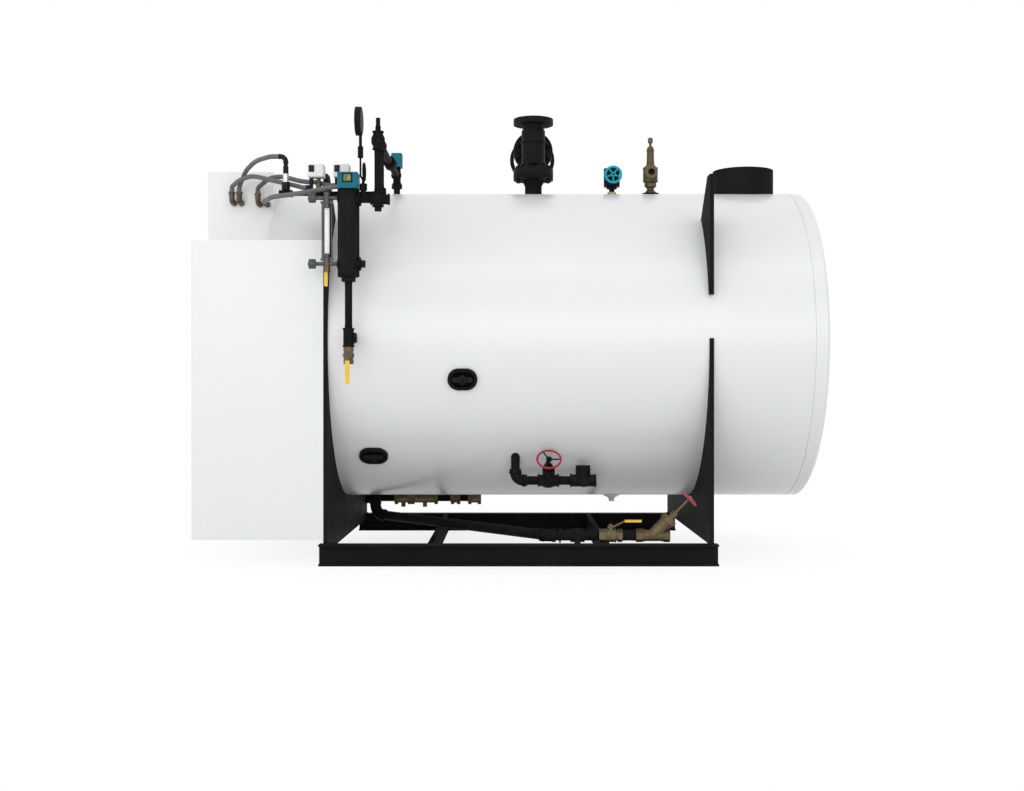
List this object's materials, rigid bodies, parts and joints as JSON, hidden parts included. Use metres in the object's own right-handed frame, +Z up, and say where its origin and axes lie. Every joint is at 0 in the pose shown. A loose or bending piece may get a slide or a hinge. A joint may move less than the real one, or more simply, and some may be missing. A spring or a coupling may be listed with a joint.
{
  "type": "horizontal firetube steam boiler",
  "caption": "Packaged horizontal steam boiler: white jacketed shell on a black rail base, with cabinet, stack outlet, valves, water column and controls.",
  "frame": {"origin": "on the floor, at the middle of the anchor bolt pattern, under the shell's axis", "axes": "+X towards the stack end along the shell, -Y towards the trim side, +Z up"},
  "size_m": [2.976, 1.8, 2.25],
  "materials": {
    "white_paint": "gloss white enamel",
    "black_paint": "satin black paint",
    "black_pipe": "black painted pipe",
    "black_casting": "black painted casting",
    "bronze": "dull cast bronze",
    "cyan_paint": "gloss cyan paint",
    "red_paint": "gloss red paint",
    "yellow_grip": "dipped yellow vinyl",
    "teal_paint": "satin teal paint",
    "grey_metal": "dull grey metal",
    "gauge_glass": "clear tube over a white back",
    "white_control": "white moulded case",
    "bright_steel": "turned steel body",
    "grey_conduit": "grey jacketed flexible conduit"
  },
  "bodies": {
    "boiler": {"shell_jacket": "white_paint", "front_drum": "white_paint", "lower_cabinet": "white_paint", "upper_cabinet": "white_paint", "rear_smokebox": "white_paint", "rear_cover": "white_paint", "drain_boss": "white_paint", "near_base_rail": "black_paint", "far_base_rail": "black_paint", "cross_plates": "black_paint", "front_end_plate": "black_paint", "rear_saddle_plate": "black_paint", "rear_lifting_lugs": "black_paint", "rear_tube_sheet": "black_paint", "stack_outlet": "black_paint", "blowdown_support": "black_paint", "steam_nozzle": "black_pipe", "safety_bushing": "black_pipe", "feedwater_pipe": "black_pipe", "blowdown_pipe": "black_pipe", "column_pipe": "black_pipe", "steam_header": "black_pipe", "gauge_siphon": "black_pipe", "control_manifold": "black_pipe", "gas_pipe": "black_pipe", "steam_valve_body": "black_casting", "steam_valve_bonnet": "black_casting", "vent_valve": "black_casting", "feedwater_valve": "black_casting", "feedwater_check_valve": "black_casting", "handhole_rings": "black_casting", "handhole_covers": "black_casting", "water_column": "black_casting", "pressure_gauge": "black_casting", "safety_valve": "bronze", "blowdown_ball_valve": "bronze", "blowdown_y_valve": "bronze", "column_drain_valve": "bronze", "gauge_drain_valve": "bronze", "control_fittings": "bronze", "conduit_connectors": "bronze", "gas_valves": "bronze", "column_head": "teal_paint", "probe_box": "teal_paint", "gauge_valves": "grey_metal", "gauge_guard_rods": "grey_metal", "gauge_glass": "gauge_glass", "pressure_controls": "white_control", "pressure_transmitter": "bright_steel", "conduits": "grey_conduit"},
    "steam_wheel": {"steam_valve_wheel": "black_casting"},
    "vent_wheel": {"vent_valve_wheel": "cyan_paint"},
    "feed_wheel": {"feedwater_wheel": "red_paint"},
    "blow_wheel": {"blowdown_wheel": "red_paint"},
    "blow_lever": {"blowdown_lever": "yellow_grip"},
    "column_lever": {"column_drain_lever": "yellow_grip"},
    "gauge_lever": {"gauge_drain_lever": "yellow_grip"}
  },
  "joints": [
    {"name": "steam_wheel_turn", "type": "hinge", "parent": "boiler", "child": "steam_wheel", "pos_m": [0.0816, 0.362, 2.104], "axis": [0, 1, 0], "range_deg": [0, 2970]},
    {"name": "vent_wheel_turn", "type": "hinge", "parent": "boiler", "child": "vent_wheel", "pos_m": [0.496, -0.104, 1.943], "axis": [0, -1, 0], "range_deg": [0, 1110]},
    {"name": "feed_wheel_turn", "type": "hinge", "parent": "boiler", "child": "feed_wheel", "pos_m": [0.145, -0.65818, 0.49017], "axis": [0, -0.7071, 0.7071], "range_deg": [0, 1500]},
    {"name": "blow_wheel_turn", "type": "hinge", "parent": "boiler", "child": "blow_wheel", "pos_m": [0.79783, -0.771, 0.31243], "axis": [0.7071, 0, 0.7071], "range_deg": [0, 1485]},
    {"name": "blow_lever_turn", "type": "hinge", "parent": "boiler", "child": "blow_lever", "pos_m": [0.42925, -0.771, 0.1786], "axis": [0, 0, -1], "range_deg": [0, 90]},
    {"name": "column_lever_turn", "type": "hinge", "parent": "boiler", "child": "column_lever", "pos_m": [-0.773, -0.972, 0.975], "axis": [0, 1, 0], "range_deg": [0, 90]},
    {"name": "gauge_lever_turn", "type": "hinge", "parent": "boiler", "child": "gauge_lever", "pos_m": [-0.871, -0.96, 1.343], "axis": [0, 1, 0], "range_deg": [0, 90]}
  ]
}
